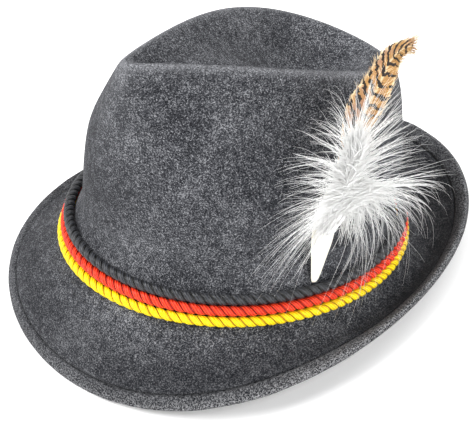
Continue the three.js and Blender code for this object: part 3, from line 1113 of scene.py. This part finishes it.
@dataclass
class TwistedCord:
    """One closed cord of two soft strands round the crown's foot."""

    order: int
    tone: CordTone
    frame: HatFrame
    diameter: float = 6 * MM
    gap: float = 0.3 * MM
    lean: float = 1.5 * MM
    strands: int = 2
    strand_height: float = 1.52 * MM
    strand_width: float = 1.98 * MM
    turns: int = 56
    steps_per_turn: int = 14
    sides: int = 12
    fine_steps: int = 2000

    def route(self) -> tuple[float, float]:
        """Places the cord in its stack, which leans outwards from the top down.

        Returns:
            How far out and up the cord's centre lies in the hat's frame.
        """
        spacing = self.diameter + self.gap
        rise = math.sqrt(spacing ** 2 - self.lean ** 2)
        out = self.diameter / 2 + self.gap + (self.order - 1) * self.lean
        return out, (1 - self.order) * rise

    def angles(self, count: int) -> list[float]:
        """Finds angles round the oval at even steps of the cord's length.

        Args:
            count: how many steps the cord has.

        Returns:
            The angles in radians.
        """
        out, up = self.route()
        fine = self.fine_steps
        points = [self.frame.oval(FULL_TURN * i / fine, out, up) for i in range(fine + 1)]
        length = [0.0]
        for first, second in zip(points, points[1:]):
            length.append(length[-1] + (second - first).length)
        found, at = [], 0
        for i in range(count):
            wanted = length[-1] * i / count
            while length[at + 1] < wanted:
                at += 1
            part = (wanted - length[at]) / (length[at + 1] - length[at])
            found.append(FULL_TURN * (at + part) / fine)
        return found

    def strand(self, number: int, angles: list[float]) -> Place:
        """Works out the surface of one strand, which winds round the cord's centre.

        Args:
            number: the strand's number.
            angles: the angles round the oval at its steps.

        Returns:
            A function that gives the surface at a share along the strand and a share round it.
        """
        out, up = self.route()
        steps = len(angles)
        reach = self.diameter / 2 - self.strand_height
        centres, radial = [], []
        for step, angle in enumerate(angles):
            phase = FULL_TURN * (number / self.strands - step / self.steps_per_turn)
            aside, high = math.cos(phase), math.sin(phase)
            centres.append(self.frame.oval(angle, out + reach * aside, up + reach * high))
            radial.append(self.frame.outward(angle) * aside + UP * high)
        tangents = [(centres[(i + 1) % steps] - centres[i - 1]).normalized() for i in range(steps)]

        def place(u: float, v: float) -> Vector:
            """The strand's surface.

            Args:
                u: the share along it.
                v: the share round it.

            Returns:
                The point.
            """
            i = round(u * steps) % steps
            tangent = tangents[i]
            first = (radial[i] - tangent * radial[i].dot(tangent)).normalized()
            around = FULL_TURN * v
            high, wide = self.strand_height * math.cos(around), self.strand_width * math.sin(around)
            return self.frame.lay(centres[i] + first * high + tangent.cross(first) * wide)

        return place

    def build(self) -> bpy.types.Object:
        """Makes the cord in place of its solid ring.

        Returns:
            The cord's piece.
        """
        steps = self.turns * self.steps_per_turn
        angles = self.angles(steps)
        mesh = bmesh.new()
        for number in range(self.strands):
            Workshop.wrap(mesh, steps, self.sides, self.strand(number, angles), closed=True)
        bmesh.ops.recalc_face_normals(mesh, faces=mesh.faces)
        colour = self.tone.name.lower()
        node, slot = f"cord_{colour}", f"{colour}_cord"
        return Workshop.piece(f"{node}_twisted", mesh, self.tone.value, slot, node)


@dataclass
class Blade:
    """A slim closed blade that follows a table of sections: the quill or the feather's vane.

    Its foot is given by how far out from the crown's face and up from the middle cord it lies.
    """

    frame: HatFrame
    length: float
    width: float
    thickness: float
    foot: tuple[float, float]
    sections: tuple[Section, ...]
    steps: int = 60
    sides: int = 16
    bluntness: int = 16
    tip: float = 0.001

    def centre(self, share: float) -> Vector:
        """The blade's middle line.

        Args:
            share: the place along it, 0 at the foot and 1 at the tip.

        Returns:
            The point.
        """
        section = blend_rows(self.sections, share)
        out, up = self.foot
        out += section.out * self.length
        up += section.up * self.length
        return self.frame.plume(out, section.back * self.length, up)

    def lie(self, share: float) -> tuple[Vector, Vector, Vector, float]:
        """How the blade lies at a place along it.

        Args:
            share: the place along it, 0 at the foot and 1 at the tip.

        Returns:
            Its middle, its directions across and outwards, and its half width.
        """
        section = blend_rows(self.sections, share)
        nudge = 0.5 / self.steps
        tangent = (self.centre(share + nudge) - self.centre(share - nudge)).normalized()
        turn = Matrix.Rotation(-math.radians(section.turned), 3, "Z")
        faces = self.frame.turn(turn @ self.frame.off_crown())
        across = tangent.cross(faces).normalized()
        return self.centre(share), across, across.cross(tangent), section.wide * self.width / 2

    def taper(self, u: float) -> float:
        """The share of its section that the blade keeps towards its two ends."""
        return math.sqrt(max(1 - (2 * u - 1) ** self.bluntness, 0.0))

    def place(self, u: float, v: float) -> Vector:
        """The blade's surface.

        Args:
            u: the share along it.
            v: the share round it.

        Returns:
            The point.
        """
        middle, across, front, half = self.lie(clamp(u, self.tip, 1 - self.tip))
        around, taper = FULL_TURN * v, self.taper(u)
        thick = min(self.thickness / 2, half) * taper
        wide = half * math.cos(around) * taper
        return middle + across * wide + front * (thick * math.sin(around))

    def build(self, name: str, finish: Finish, slot: str, node: str) -> bpy.types.Object:
        """Makes the blade in place of its solid.

        Args:
            name: the piece's name.
            finish: the finish whose material it gets.
            slot: not used.
            node: the node that it stands for.

        Returns:
            The blade's piece.
        """
        mesh = bmesh.new()
        Workshop.wrap(mesh, self.steps, self.sides, self.place)
        Workshop.close(mesh)
        return Workshop.piece(name, mesh, finish, slot, node)


@dataclass
class Quill(Blade):
    """The ivory spine at the plume's foot, with its foot behind the top cord."""

    length: float = 62 * MM
    width: float = 12.5 * MM
    thickness: float = 1.8 * MM
    foot: tuple[float, float] = (-0.3 * MM, 9.42 * MM)
    sections: tuple[Section, ...] = (
        Section(up=0, back=-0.112, out=0, wide=0.38),
        Section(up=0.21, back=-0.1, out=0, wide=0.78),
        Section(up=0.42, back=-0.094, out=0, wide=1.18),
        Section(up=0.63, back=-0.096, out=0, wide=1.25),
        Section(up=0.84, back=-0.09, out=0, wide=0.8),
        Section(up=1, back=-0.08, out=0, wide=0.3),
    )


@dataclass
class Vane(Blade):
    """A feather's vane: a blade that folds at its shaft, with notched edges and loose barbs."""

    length: float = 116 * MM
    width: float = 15.5 * MM
    thickness: float = 0.9 * MM
    foot: tuple[float, float] = (-1.95 * MM, 37.42 * MM)
    sections: tuple[Section, ...] = (
        Section(up=0, back=-0.05, out=0, wide=0.12),
        Section(up=0.18, back=-0.02, out=0, wide=0.2),
        Section(up=0.36, back=0.015, out=0, wide=0.5),
        Section(up=0.552, back=0.075, out=-0.004, wide=1.22, turned=12),
        Section(up=0.638, back=0.109, out=-0.01, wide=1.3, turned=26),
        Section(up=0.695, back=0.149, out=-0.018, wide=1.12, turned=33),
        Section(up=0.757, back=0.184, out=-0.025, wide=0.95, turned=35),
        Section(up=0.816, back=0.215, out=-0.031, wide=0.8, turned=35),
        Section(up=0.852, back=0.247, out=-0.034, wide=0.68, turned=35),
        Section(up=0.872, back=0.291, out=-0.034, wide=0.56, turned=35),
        Section(up=0.878, back=0.34, out=-0.03, wide=0.48, turned=35),
    )
    steps: int = 260
    sides: int = 28
    bluntness: int = 24
    fold: float = 0.16
    notch: float = 0.16

    # The ragged edges: coarse and fine waves along the vane, and the fine ones' share
    coarse_rags: float = 60
    fine_rags: float = 150
    fine_share: float = 0.6

    # The loose barbs: how many, where at the edges and at the tip, how long and how thick
    loose_barbs: int = 330
    tip_barbs: float = 0.3
    edge_stretch: tuple[float, float] = (0.3, 0.97)
    tip_stretch: tuple[float, float] = (0.93, 0.995)
    edge_lengths: tuple[float, float] = (1.5 * MM, 4.5 * MM)
    tip_lengths: tuple[float, float] = (3 * MM, 8 * MM)
    barb_points: int = 6
    barb_radius: float = 0.17 * MM
    barb_taper: float = 0.75

    def edge_share(self, u: float, side: float) -> float:
        """How much of its width the vane has at a place along it, on one side.

        Args:
            u: the share along it.
            side: -1 or 1.

        Returns:
            The share of the width.
        """
        ragged = noise.noise(Vector((u * self.coarse_rags, side * 5, 0)))
        ragged += self.fine_share * noise.noise(Vector((u * self.fine_rags, side * 9, 3)))
        return 1 - self.notch * max(ragged, 0) * (0.4 + u)

    def place(self, u: float, v: float) -> Vector:
        """The vane's surface.

        Args:
            u: the share along it.
            v: the share round it.

        Returns:
            The point.
        """
        middle, across, front, half = self.lie(clamp(u, self.tip, 1 - self.tip))
        around, taper = FULL_TURN * v, self.taper(u)
        share = math.cos(around) * taper
        wide = half * share * self.edge_share(u, math.copysign(1, share))
        thick = min(self.thickness / 2, half) * taper * math.sin(around)
        return middle + across * wide + front * (thick - self.fold * abs(wide))

    def barb(self, draw: random.Random) -> Strand:
        """Draws one loose barb at an edge or at the frayed tip.

        Args:
            draw: the seeded source of random numbers.

        Returns:
            The barb's points with their radii.
        """
        at_tip = draw.random() < self.tip_barbs
        u = draw.uniform(*(self.tip_stretch if at_tip else self.edge_stretch))
        side = draw.choice((-1, 1))
        middle, across, front, half = self.lie(u)
        along = (self.centre(min(u + 0.01, 1)) - self.centre(u - 0.01)).normalized()
        share = draw.uniform(0, 1) if at_tip else 0.9
        root = middle + across * (side * share * half) - front * (self.fold * half * share)
        length = draw.uniform(*(self.tip_lengths if at_tip else self.edge_lengths))
        heading = along + across * (side * draw.uniform(0.15, 0.7))
        heading = (heading + front * draw.uniform(-0.3, 0.3)).normalized()
        curl = across * draw.uniform(-1, 1) + front * draw.uniform(-1, 1)
        curl = curl * draw.uniform(0.1, 0.5)
        strand = []
        for i in range(self.barb_points):
            t = i / (self.barb_points - 1)
            place = root + (heading * t + curl * t * t) * length
            strand.append((place, self.barb_radius * (1 - self.barb_taper * t)))
        return strand

    def barbs(self, seed: int = 5) -> bpy.types.Object:
        """Makes the loose barbs along the edges and the frayed tip.

        Args:
            seed: starts the random numbers.

        Returns:
            The barbs as one piece.
        """
        draw = random.Random(seed)
        strands = [self.barb(draw) for _ in range(self.loose_barbs)]
        made = Workshop.hairs("feather_barbs", strands)
        return Workshop.dress(made, SoftTone.BARB.value, "feather", "plume_feather")


@dataclass
class DownFeather:
    """One soft feather: a white body along a spine, with long barbs that part to both sides.

    The first share of bare is the spine's bare stretch on its forward side, the second that on
    its backward side. A thinning under 1 draws the barbs towards the spine's upper end.
    """

    frame: HatFrame
    spine: tuple[SpinePoint, ...]
    headings: tuple[Heading, ...]
    bare: tuple[float, float] = (0.0, 0.0)
    thinning: float = 0.7
    spread: float = 15
    rise: float = 0.6
    droop: float = 1.0

    # How many barbs of each kind there are
    clumps: int = 52
    clump_barbs: int = 4
    singles: int = 170
    fuzz: int = 1100
    coat: int = 1100

    # One barb's thickness
    root_radius: float = 0.3 * MM
    tip_share: float = 0.16

    # Between what the barbs are drawn: lengths as shares of the heading's, ripples, sags and
    # sway as shares of a barb's own length, and how far the combed ones run and rise
    lengths: tuple[float, float] = (0.6, 1.06)
    fuzz_lengths: tuple[float, float] = (0.15, 0.42)
    ripples: tuple[float, float] = (0.01, 0.03)
    sags: tuple[float, float] = (0.1, 0.3)
    sway: float = 0.14
    comb_runs: tuple[float, float] = (6 * MM, 13 * MM)
    comb_rises: tuple[float, float] = (0.5 * MM, 3 * MM)

    # The white body: its flattening, its lumps, and its ridges with their slant in radians
    flat: float = 0.75
    lump: float = 0.28
    lump_size: float = 4 * MM
    ridge: float = 0.16
    ridges: int = 9
    ridge_slant: float = 14

    def at(self, share: float) -> Vector:
        """The spine's place."""
        point = blend_rows(self.spine, share)
        return self.frame.plume(point.out, point.back, point.up)

    def along(self, share: float) -> Vector:
        """The spine's direction."""
        return (self.at(min(share + 0.05, 1)) - self.at(max(share - 0.05, 0))).normalized()

    def ring(self, share: float, around: float) -> Vector:
        """The direction from the spine to the body's skin.

        Args:
            share: the place along the spine.
            around: the angle round it in radians.

        Returns:
            The direction, shorter where the body is flattened.
        """
        tangent = self.along(share)
        across = tangent.cross(self.frame.turn(self.frame.off_crown())).normalized()
        return across * math.cos(around) + across.cross(tangent) * (self.flat * math.sin(around))

    def heading(self, turn: float, lift: float) -> Vector:
        """A direction beside the crown.

        Args:
            turn: degrees from backwards over up.
            lift: degrees off the crown.

        Returns:
            The direction.
        """
        turn, lift = math.radians(turn), math.radians(lift)
        flat = self.frame.backward() * math.cos(turn) + UP * math.sin(turn)
        return self.frame.turn(flat * math.cos(lift) + self.frame.off_crown() * math.sin(lift))

    def guide(self, draw: random.Random, size: float) -> Path:
        """Draws the path of one clump of barbs.

        Args:
            draw: the seeded source of random numbers.
            size: its length as a share of the usual one.

        Returns:
            A function from the share of its length to a place.
        """
        side = draw.randrange(2)
        share = self.bare[side] + (1 - self.bare[side]) * draw.random() ** self.thinning
        row = blend_rows(self.headings, share)
        turn = (row.forward_turn, row.backward_turn)[side] + draw.gauss(0, self.spread)
        lift = draw.triangular(-5, row.lift, row.lift * 0.25)
        usual = (row.forward_length, row.backward_length)[side] * size
        length = usual * draw.uniform(*self.lengths)
        rise = self.along(share) * self.rise
        heading = self.heading(turn, lift)
        relaxed = self.heading(turn, lift * 0.3)
        aside = heading.cross(self.heading(turn, 90)).normalized() * draw.gauss(0, self.sway)
        ripple = heading.orthogonal().normalized() * draw.uniform(*self.ripples)
        start = draw.uniform(0, FULL_TURN)
        sag = draw.uniform(*self.sags) * self.droop
        root = self.at(share)

        def path(t: float) -> Vector:
            """The clump's middle.

            Args:
                t: the share of its length.

            Returns:
                The point.
            """
            straight = heading.lerp(relaxed, t) * t
            bend = aside * t * t + rise * t * (1 - t) - UP * (sag * t ** 2.2)
            return root + (straight + bend + ripple * (math.sin(start + 7 * t) * t)) * length

        return path

    def strand(self, path: Path, size: float, points: int = 10) -> Strand:
        """Makes one barb along a path, thinner towards its tip.

        Args:
            path: gives a place at a share of the barb's length.
            size: its thickness as a share of the usual one.
            points: how many points it has.

        Returns:
            The barb's points with their radii.
        """
        radius = self.root_radius * size
        shares = [i / (points - 1) for i in range(points)]
        return [(path(t), radius * (1 - (1 - self.tip_share) * t)) for t in shares]

    def clump(self, draw: random.Random) -> list[Strand]:
        """Draws some barbs that close towards their tips.

        Args:
            draw: the seeded source of random numbers.

        Returns:
            The barbs.
        """
        path, made = self.guide(draw, 1.0), []
        for _ in range(self.clump_barbs):
            base, end = scatter(draw, 1.6 * MM), scatter(draw, 1.0 * MM)
            reach = draw.uniform(0.65, 1.0)
            size = draw.uniform(0.5, 0.9)
            made.append(self.strand(lambda t: path(t * reach) + base.lerp(end, t), size))
        return made

    def single(self, draw: random.Random) -> Strand:
        """Draws a long thin barb by itself."""
        path, base = self.guide(draw, 1.08), scatter(draw, 1.5 * MM)
        return self.strand(lambda t: path(t) + base * (1 - t), 0.5)

    def tuft(self, draw: random.Random) -> Strand:
        """Draws a short thick barb of the fuzz."""
        path, base = self.guide(draw, draw.uniform(*self.fuzz_lengths)), scatter(draw, 3.2 * MM)
        return self.strand(lambda t: path(t) + base, 1.25, 5)

    def combed(self, draw: random.Random) -> Strand:
        """Draws a short barb that lies along the white body.

        Args:
            draw: the seeded source of random numbers.

        Returns:
            The barb's points with their radii.
        """
        share, around = draw.uniform(0, 0.85), draw.uniform(0, FULL_TURN)
        ring = self.ring(share, around)
        root = self.at(share) + ring * blend_rows(self.spine, share).radius
        reach = self.along(share) * draw.uniform(*self.comb_runs)
        reach += ring * draw.uniform(*self.comb_rises)
        reach += scatter(draw, 2 * MM)
        return self.strand(lambda t: root + reach * t, 1.0, 4)

    def strands(self, draw: random.Random) -> list[Strand]:
        """Draws all barbs: clumps, single thin ones, short fuzz and the combed coat.

        Args:
            draw: the seeded source of random numbers.

        Returns:
            The barbs.
        """
        made = [strand for _ in range(self.clumps) for strand in self.clump(draw)]
        made += [self.single(draw) for _ in range(self.singles)]
        made += [self.tuft(draw) for _ in range(self.fuzz)]
        return made + [self.combed(draw) for _ in range(self.coat)]

    def skin(self, u: float, v: float) -> Vector:
        """The white body's surface, lumpy and drawn into fine ridges.

        Args:
            u: the share along the spine.
            v: the share round it.

        Returns:
            The point.
        """
        share = clamp(u, 0.001, 0.999)
        around = FULL_TURN * v
        ring = self.ring(share, around)
        radius = blend_rows(self.spine, share).radius * math.sqrt(max(1 - (2 * u - 1) ** 8, 0.0))
        lumps = 1 + self.lump * noise.noise((self.at(share) + ring * radius) / self.lump_size)
        lumps += self.ridge * math.sin(self.ridges * around + self.ridge_slant * share)
        return self.at(share) + ring * (radius * lumps)

    def body(self, mesh: bmesh.types.BMesh, steps: int = 60, sides: int = 32) -> None:
        """Adds the white body along the spine to a mesh, with faces along and round it."""
        Workshop.wrap(mesh, steps, sides, self.skin)


@dataclass
class DownTuft:
    """The plume's two white down feathers on one backing."""

    frame: HatFrame
    seed: int = 11

    def lower(self) -> DownFeather:
        """Makes the drooping feather, which starts beside the quill.

        Returns:
            The feather.
        """
        return DownFeather(
            self.frame,
            spine=(
                SpinePoint(back=-7 * MM, up=45 * MM, out=3.2 * MM, radius=5 * MM),
                SpinePoint(back=-7.5 * MM, up=54 * MM, out=4.6 * MM, radius=6.8 * MM),
                SpinePoint(back=-4 * MM, up=62 * MM, out=6 * MM, radius=6.6 * MM),
                SpinePoint(back=3 * MM, up=66 * MM, out=7 * MM, radius=5.2 * MM),
                SpinePoint(back=12 * MM, up=68 * MM, out=7 * MM, radius=3 * MM),
            ),
            headings=(
                Heading(232, -86, 46 * MM, 40 * MM, lift=6),
                Heading(212, -80, 46 * MM, 54 * MM, lift=12),
                Heading(192, -68, 46 * MM, 62 * MM, lift=22),
                Heading(172, -42, 46 * MM, 60 * MM, lift=30),
                Heading(152, -12, 46 * MM, 58 * MM, lift=32),
            ),
            bare=(0.06, 0.36),
            thinning=0.6,
        )

    def upper(self) -> DownFeather:
        """Makes the upright feather in front of the barred one.

        Returns:
            The feather.
        """
        return DownFeather(
            self.frame,
            spine=(
                SpinePoint(back=-5 * MM, up=58 * MM, out=5 * MM, radius=3 * MM),
                SpinePoint(back=-4 * MM, up=70 * MM, out=6 * MM, radius=4.4 * MM),
                SpinePoint(back=-3 * MM, up=80 * MM, out=6.5 * MM, radius=4.4 * MM),
                SpinePoint(back=-1 * MM, up=89 * MM, out=6.5 * MM, radius=3.4 * MM),
                SpinePoint(back=1 * MM, up=98 * MM, out=6 * MM, radius=1.8 * MM),
            ),
            headings=(
                Heading(168, -6, 46 * MM, 56 * MM, lift=34),
                Heading(156, 4, 48 * MM, 56 * MM, lift=36),
                Heading(140, 18, 48 * MM, 52 * MM, lift=32),
                Heading(124, 40, 48 * MM, 48 * MM, lift=24),
                Heading(108, 72, 46 * MM, 40 * MM, lift=12),
            ),
            thinning=1.0,
            rise=0.25,
            droop=0.5,
        )

    def build(self) -> bpy.types.Object:
        """Makes the white bodies and all barbs in place of the solid locks.

        Returns:
            The barbs' piece.
        """
        draw = random.Random(self.seed)
        strands, mesh = [], bmesh.new()
        for feather in (self.lower(), self.upper()):
            strands += feather.strands(draw)
            feather.body(mesh)
        Workshop.close(mesh)
        down = SoftTone.DOWN.value
        Workshop.piece("down_body", mesh, down, "fluff", "plume_fluff")
        return Workshop.dress(Workshop.hairs("down_barbs", strands), down, "fluff", "plume_fluff")


@dataclass
class Studio:
    """The pale floor, the soft lights and the camera."""

    target: Vector = field(default_factory=lambda: Vector((13.78, -27.79, 52.78)) * MM)
    azimuth: float = math.radians(49.536)
    elevation: float = math.radians(38.629)
    roll: float = math.radians(-1.041)
    distance: float = 0.8
    focal_pixels: float = 1422.7
    frame_pixels: float = 473
    sensor: float = 36
    floor_size: float = 30
    sky: float = 0.06
    lamps: tuple[Lamp, ...] = (
        Lamp("key", azimuth=325, elevation=45, power=4.0, width=45),
        Lamp("rim", azimuth=214, elevation=54, power=2.2, width=70),
        Lamp("fill", azimuth=84, elevation=32, power=3.2, width=60),
    )

    def camera(self) -> None:
        """Makes the camera at the photograph's angle."""
        back = compass(self.azimuth, self.elevation)
        right = Vector((math.cos(self.azimuth), math.sin(self.azimuth), 0))
        up = back.cross(right)
        level, tipped = math.cos(self.roll), math.sin(self.roll)
        right, up = right * level + up * tipped, up * level - right * tipped
        data = bpy.data.cameras.new("camera")
        data.sensor_width = self.sensor
        data.lens = self.focal_pixels / self.frame_pixels * self.sensor
        eye = bpy.data.objects.new("camera", data)
        turn = Matrix((right, up, back)).transposed().to_4x4()
        eye.matrix_world = Matrix.Translation(self.target + back * self.distance) @ turn
        bpy.context.scene.collection.objects.link(eye)
        bpy.context.scene.camera = eye

    def floor(self) -> None:
        """Makes the pale floor just under the hat."""
        mesh = bmesh.new()
        bmesh.ops.create_grid(mesh, x_segments=1, y_segments=1, size=self.floor_size / 2)
        data = bpy.data.meshes.new("floor")
        mesh.to_mesh(data)
        mesh.free()
        data.materials.append(FloorFinish().material())
        ground = bpy.data.objects.new("floor", data)
        bpy.context.scene.collection.objects.link(ground)

    def sun(self, lamp: Lamp) -> None:
        """Makes one wide soft light.

        Args:
            lamp: its place, width and strength.
        """
        data = bpy.data.lights.new(lamp.name, "SUN")
        data.angle, data.energy = math.radians(lamp.width), lamp.power
        away = compass(math.radians(lamp.azimuth), math.radians(lamp.elevation))
        light = bpy.data.objects.new(lamp.name, data)
        light.rotation_euler = away.to_track_quat("Z", "Y").to_euler()
        bpy.context.scene.collection.objects.link(light)

    def light(self) -> None:
        """Makes the surroundings and the lamps."""
        world = bpy.data.worlds.new("studio")
        world.use_nodes = True
        background = world.node_tree.nodes["Background"]
        background.inputs["Color"].default_value = (1, 1, 1, 1)
        background.inputs["Strength"].default_value = self.sky
        scene = bpy.context.scene
        scene.world = world
        scene.view_settings.view_transform = "Standard"
        for lamp in self.lamps:
            self.sun(lamp)

    def build(self) -> None:
        """Sets up the whole studio."""
        self.camera()
        self.floor()
        self.light()


def main() -> None:
    """Builds the studio and the hat's pieces in order."""
    logging.basicConfig(level=logging.INFO, format="%(name)s %(message)s")
    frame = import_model()
    Studio().build()
    hat = HatFrame()
    FeltBody().build(frame["nodes"]["hat_felt"])
    for order, cord_tone in enumerate(CordTone):
        TwistedCord(order, cord_tone, hat).build()
    Quill(hat).build("quill_spine", SoftTone.QUILL.value, "quill", "plume_quill")
    feather = Vane(hat)
    feather.build("feather_vane", FeatherFinish(), "feather", "plume_feather")
    feather.barbs()
    DownTuft(hat).build()


if __name__ == "__main__":
    main()
